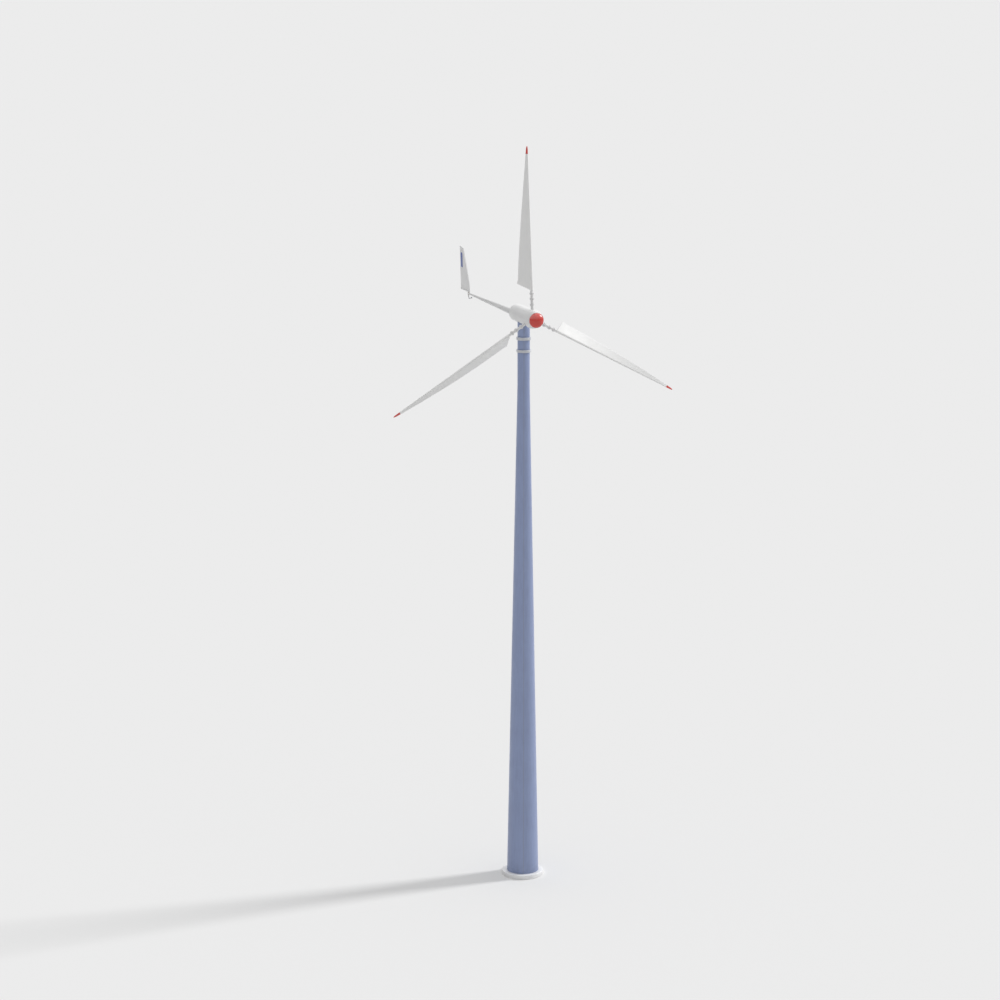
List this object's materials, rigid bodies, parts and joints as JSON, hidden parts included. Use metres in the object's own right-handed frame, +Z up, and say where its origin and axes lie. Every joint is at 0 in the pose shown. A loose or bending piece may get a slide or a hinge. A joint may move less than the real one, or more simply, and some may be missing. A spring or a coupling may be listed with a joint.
{
  "type": "small wind turbine",
  "caption": "Small upwind horizontal-axis wind turbine on a tapered tube tower, with twisted blades, a red nose, a long tail boom and a swept tail vane.",
  "frame": {"origin": "centre of the foundation face under the base plate", "axes": "+Z up along the tower, -Y the way the rotor faces at rest, +Y towards the tail vane, +X to the right seen from in front of the rotor"},
  "size_m": [3.0065, 2.532, 7.7339],
  "materials": {
    "tower_paint": "satin slate-blue paint with fine mottling",
    "head_paint": "satin light grey-white paint",
    "cover_paint": "satin white paint",
    "blade_shell": "smooth moulded white composite",
    "signal_red": "glossy red",
    "structural_steel": "zinc-plated steel",
    "bearing_steel": "ground steel",
    "laminations": "varnished electrical steel",
    "copper": "enamelled copper",
    "magnet": "nickel-plated magnet",
    "cast_aluminium": "machined casting",
    "cable_sheath": "black sheath",
    "dark_plastic": "dark moulded plastic",
    "bronze": "sintered bronze"
  },
  "bodies": {
    "tower": {"base_plate": "structural_steel", "base_cover": "cover_paint", "tower_tube": "tower_paint", "lower_collar": "cover_paint", "tower_adapter": "tower_paint", "yaw_bearing_lower": "bearing_steel", "yaw_bearing_upper": "bearing_steel", "brush_block": "dark_plastic", "tower_cable": "cable_sheath", "cable_gland": "dark_plastic", "anchor_bolt_1": "structural_steel", "anchor_bolt_2": "structural_steel", "anchor_bolt_3": "structural_steel", "anchor_bolt_4": "structural_steel", "anchor_bolt_5": "structural_steel", "anchor_bolt_6": "structural_steel"},
    "head": {"front_bearing": "bearing_steel", "front_shield": "cast_aluminium", "head_cable": "cable_sheath", "nacelle_casing": "head_paint", "rear_bearing": "bearing_steel", "rear_cover": "head_paint", "rear_shield": "cast_aluminium", "slip_ring": "copper", "stator_core": "laminations", "stator_winding": "copper", "tail_boom": "head_paint", "upper_collar": "cover_paint", "vane_bush_lower": "bronze", "vane_bush_upper": "bronze", "yaw_neck": "tower_paint", "yaw_shaft": "structural_steel"},
    "rotor": {"main_shaft": "structural_steel", "rotor_drum": "structural_steel", "magnet_ring": "magnet", "hub_core": "cast_aluminium", "hub_nut": "structural_steel", "hub_shell": "head_paint", "nose_dome": "signal_red", "blade_1_shank": "blade_shell", "blade_1_clamp_nut": "blade_shell", "blade_1_panel": "blade_shell", "blade_1_tip": "signal_red", "blade_2_shank": "blade_shell", "blade_2_clamp_nut": "blade_shell", "blade_2_panel": "blade_shell", "blade_2_tip": "signal_red", "blade_3_shank": "blade_shell", "blade_3_clamp_nut": "blade_shell", "blade_3_panel": "blade_shell", "blade_3_tip": "signal_red"},
    "vane": {"vane_post": "structural_steel", "hook_ball": "structural_steel", "vane_panel": "head_paint", "vane_rail": "head_paint", "vane_rivet_1": "structural_steel", "vane_rivet_2": "structural_steel", "vane_rivet_3": "structural_steel"}
  },
  "joints": [
    {"name": "yaw", "type": "hinge", "parent": "tower", "child": "head", "pos_m": [0, 0, 5.747], "axis": [0, 0, 1], "continuous": true},
    {"name": "rotor_spin", "type": "hinge", "parent": "head", "child": "rotor", "pos_m": [0, -0.268, 6], "axis": [0, 1, 0], "continuous": true},
    {"name": "vane_swing", "type": "hinge", "parent": "head", "child": "vane", "pos_m": [0, 1.8, 5.985], "axis": [0, 0, 1], "range_deg": [-90, 90]}
  ]
}
